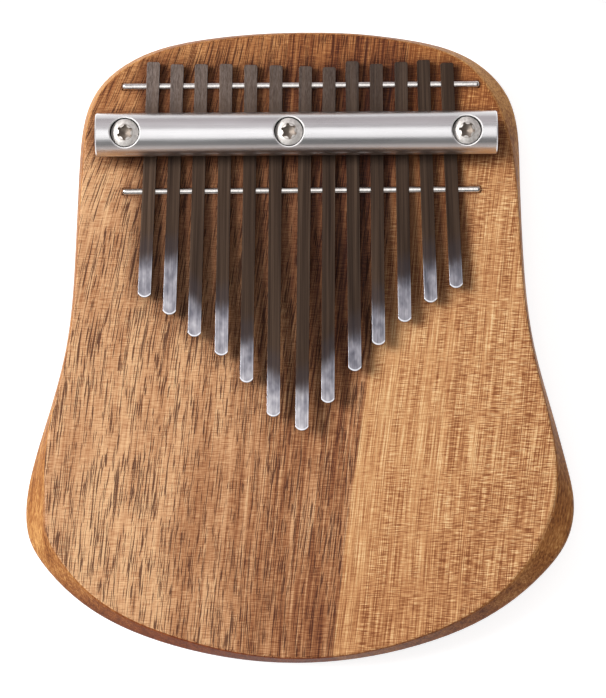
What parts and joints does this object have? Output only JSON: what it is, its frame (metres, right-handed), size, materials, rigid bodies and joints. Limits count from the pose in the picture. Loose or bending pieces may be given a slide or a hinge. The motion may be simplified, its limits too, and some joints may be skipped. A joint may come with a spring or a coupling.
{
  "type": "mbira",
  "caption": "Thumb piano: a shaped hardwood board on which a round pressure bar clamps sprung steel tines over two bridge rods. Each tine slides to tune and flexes when plucked.",
  "frame": {"origin": "centre of the board's flat back, under the middle of the overall box", "axes": "+Z out of the playing face, +Y from the player's thumbs to the clamped far end, +X to the player's right"},
  "size_m": [0.1526, 0.1768, 0.0338],
  "materials": {
    "wood": "oiled hardwood, satin, dark heartwood on the left and pale sapwood on the right",
    "aluminium": "satin, drawn lengthwise",
    "stainless_steel": "polished",
    "spring_steel": "tempered brown-grey, brushed lengthwise, ground bright at the tips"
  },
  "bodies": {
    "mbira_body": {"board": "wood", "pressure_bar": "aluminium", "front_bridge_rod": "stainless_steel", "rear_bridge_rod": "stainless_steel", "screw_left": "stainless_steel", "screw_middle": "stainless_steel", "screw_right": "stainless_steel"},
    "tine_01_clamped": {"tine_01_clamped": "spring_steel"},
    "tine_01_tongue": {"tine_01_tongue": "spring_steel"},
    "tine_02_clamped": {"tine_02_clamped": "spring_steel"},
    "tine_02_tongue": {"tine_02_tongue": "spring_steel"},
    "tine_03_clamped": {"tine_03_clamped": "spring_steel"},
    "tine_03_tongue": {"tine_03_tongue": "spring_steel"},
    "tine_04_clamped": {"tine_04_clamped": "spring_steel"},
    "tine_04_tongue": {"tine_04_tongue": "spring_steel"},
    "tine_05_clamped": {"tine_05_clamped": "spring_steel"},
    "tine_05_tongue": {"tine_05_tongue": "spring_steel"},
    "tine_06_clamped": {"tine_06_clamped": "spring_steel"},
    "tine_06_tongue": {"tine_06_tongue": "spring_steel"},
    "tine_07_clamped": {"tine_07_clamped": "spring_steel"},
    "tine_07_tongue": {"tine_07_tongue": "spring_steel"},
    "tine_08_clamped": {"tine_08_clamped": "spring_steel"},
    "tine_08_tongue": {"tine_08_tongue": "spring_steel"},
    "tine_09_clamped": {"tine_09_clamped": "spring_steel"},
    "tine_09_tongue": {"tine_09_tongue": "spring_steel"},
    "tine_10_clamped": {"tine_10_clamped": "spring_steel"},
    "tine_10_tongue": {"tine_10_tongue": "spring_steel"},
    "tine_11_clamped": {"tine_11_clamped": "spring_steel"},
    "tine_11_tongue": {"tine_11_tongue": "spring_steel"},
    "tine_12_clamped": {"tine_12_clamped": "spring_steel"},
    "tine_12_tongue": {"tine_12_tongue": "spring_steel"},
    "tine_13_clamped": {"tine_13_clamped": "spring_steel"},
    "tine_13_tongue": {"tine_13_tongue": "spring_steel"}
  },
  "joints": [
    {"name": "tine_01_tuning", "type": "slide", "parent": "mbira_body", "child": "tine_01_clamped", "axis": [0.0419, 0.9991, 0], "range_m": [-0.0012, 0.0012]},
    {"name": "tine_01_pluck", "type": "hinge", "parent": "tine_01_clamped", "child": "tine_01_tongue", "pos_m": [-0.0415, 0.04285, 0.02], "axis": [0.9991, -0.0419, 0], "range_deg": [-1.11, 1.11], "stiffness_Nm_per_rad": 10.334},
    {"name": "tine_02_tuning", "type": "slide", "parent": "mbira_body", "child": "tine_02_clamped", "axis": [0.0349, 0.9994, 0], "range_m": [-0.0012, 0.0012]},
    {"name": "tine_02_pluck", "type": "hinge", "parent": "tine_02_clamped", "child": "tine_02_tongue", "pos_m": [-0.0346, 0.04285, 0.02], "axis": [0.9994, -0.0349, 0], "range_deg": [-1.3, 1.3], "stiffness_Nm_per_rad": 8.887},
    {"name": "tine_03_tuning", "type": "slide", "parent": "mbira_body", "child": "tine_03_clamped", "axis": [0.0297, 0.9996, 0], "range_m": [-0.0012, 0.0012]},
    {"name": "tine_03_pluck", "type": "hinge", "parent": "tine_03_clamped", "child": "tine_03_tongue", "pos_m": [-0.0277, 0.04285, 0.02], "axis": [0.9996, -0.0297, 0], "range_deg": [-1.53, 1.53], "stiffness_Nm_per_rad": 7.55},
    {"name": "tine_04_tuning", "type": "slide", "parent": "mbira_body", "child": "tine_04_clamped", "axis": [0.0209, 0.9998, 0], "range_m": [-0.0012, 0.0012]},
    {"name": "tine_04_pluck", "type": "hinge", "parent": "tine_04_clamped", "child": "tine_04_tongue", "pos_m": [-0.0205, 0.04285, 0.02], "axis": [0.9998, -0.0209, 0], "range_deg": [-1.72, 1.72], "stiffness_Nm_per_rad": 6.689},
    {"name": "tine_05_tuning", "type": "slide", "parent": "mbira_body", "child": "tine_05_clamped", "axis": [0.0192, 0.9998, 0], "range_m": [-0.0012, 0.0012]},
    {"name": "tine_05_pluck", "type": "hinge", "parent": "tine_05_clamped", "child": "tine_05_tongue", "pos_m": [-0.0135, 0.04285, 0.02], "axis": [0.9998, -0.0192, 0], "range_deg": [-2, 2], "stiffness_Nm_per_rad": 5.749},
    {"name": "tine_06_tuning", "type": "slide", "parent": "mbira_body", "child": "tine_06_clamped", "axis": [0.014, 0.9999, 0], "range_m": [-0.0012, 0.0012]},
    {"name": "tine_06_pluck", "type": "hinge", "parent": "tine_06_clamped", "child": "tine_06_tongue", "pos_m": [-0.0063, 0.04285, 0.02], "axis": [0.9999, -0.014, 0], "range_deg": [-2.36, 2.36], "stiffness_Nm_per_rad": 4.891},
    {"name": "tine_07_tuning", "type": "slide", "parent": "mbira_body", "child": "tine_07_clamped", "axis": [0.0175, 0.9998, 0], "range_m": [-0.0012, 0.0012]},
    {"name": "tine_07_pluck", "type": "hinge", "parent": "tine_07_clamped", "child": "tine_07_tongue", "pos_m": [0.0018, 0.04285, 0.02], "axis": [0.9998, -0.0175, 0], "range_deg": [-2.5, 2.5], "stiffness_Nm_per_rad": 4.608},
    {"name": "tine_08_tuning", "type": "slide", "parent": "mbira_body", "child": "tine_08_clamped", "axis": [0.0122, 0.9999, 0], "range_m": [-0.0012, 0.0012]},
    {"name": "tine_08_pluck", "type": "hinge", "parent": "tine_08_clamped", "child": "tine_08_tongue", "pos_m": [0.0086, 0.04285, 0.02], "axis": [0.9999, -0.0122, 0], "range_deg": [-2.22, 2.22], "stiffness_Nm_per_rad": 5.193},
    {"name": "tine_09_tuning", "type": "slide", "parent": "mbira_body", "child": "tine_09_clamped", "axis": [0, 1, 0], "range_m": [-0.0012, 0.0012]},
    {"name": "tine_09_pluck", "type": "hinge", "parent": "tine_09_clamped", "child": "tine_09_tongue", "pos_m": [0.0154, 0.04285, 0.02], "axis": [1, 0, 0], "range_deg": [-1.89, 1.89], "stiffness_Nm_per_rad": 6.087},
    {"name": "tine_10_tuning", "type": "slide", "parent": "mbira_body", "child": "tine_10_clamped", "axis": [0.0017, 1, 0], "range_m": [-0.0012, 0.0012]},
    {"name": "tine_10_pluck", "type": "hinge", "parent": "tine_10_clamped", "child": "tine_10_tongue", "pos_m": [0.0221, 0.04285, 0.02], "axis": [1, -0.0017, 0], "range_deg": [-1.63, 1.63], "stiffness_Nm_per_rad": 7.085},
    {"name": "tine_11_tuning", "type": "slide", "parent": "mbira_body", "child": "tine_11_clamped", "axis": [-0.0035, 1, 0], "range_m": [-0.0012, 0.0012]},
    {"name": "tine_11_pluck", "type": "hinge", "parent": "tine_11_clamped", "child": "tine_11_tongue", "pos_m": [0.0292, 0.04285, 0.02], "axis": [1, 0.0035, 0], "range_deg": [-1.39, 1.39], "stiffness_Nm_per_rad": 8.294},
    {"name": "tine_12_tuning", "type": "slide", "parent": "mbira_body", "child": "tine_12_clamped", "axis": [-0.0192, 0.9998, 0], "range_m": [-0.0012, 0.0012]},
    {"name": "tine_12_pluck", "type": "hinge", "parent": "tine_12_clamped", "child": "tine_12_tongue", "pos_m": [0.036, 0.04285, 0.02], "axis": [0.9998, 0.0192, 0], "range_deg": [-1.19, 1.19], "stiffness_Nm_per_rad": 9.69},
    {"name": "tine_13_tuning", "type": "slide", "parent": "mbira_body", "child": "tine_13_clamped", "axis": [-0.0297, 0.9996, 0], "range_m": [-0.0012, 0.0012]},
    {"name": "tine_13_pluck", "type": "hinge", "parent": "tine_13_clamped", "child": "tine_13_tongue", "pos_m": [0.0429, 0.04285, 0.02], "axis": [0.9996, 0.0297, 0], "range_deg": [-1.04, 1.04], "stiffness_Nm_per_rad": 11.069}
  ]
}
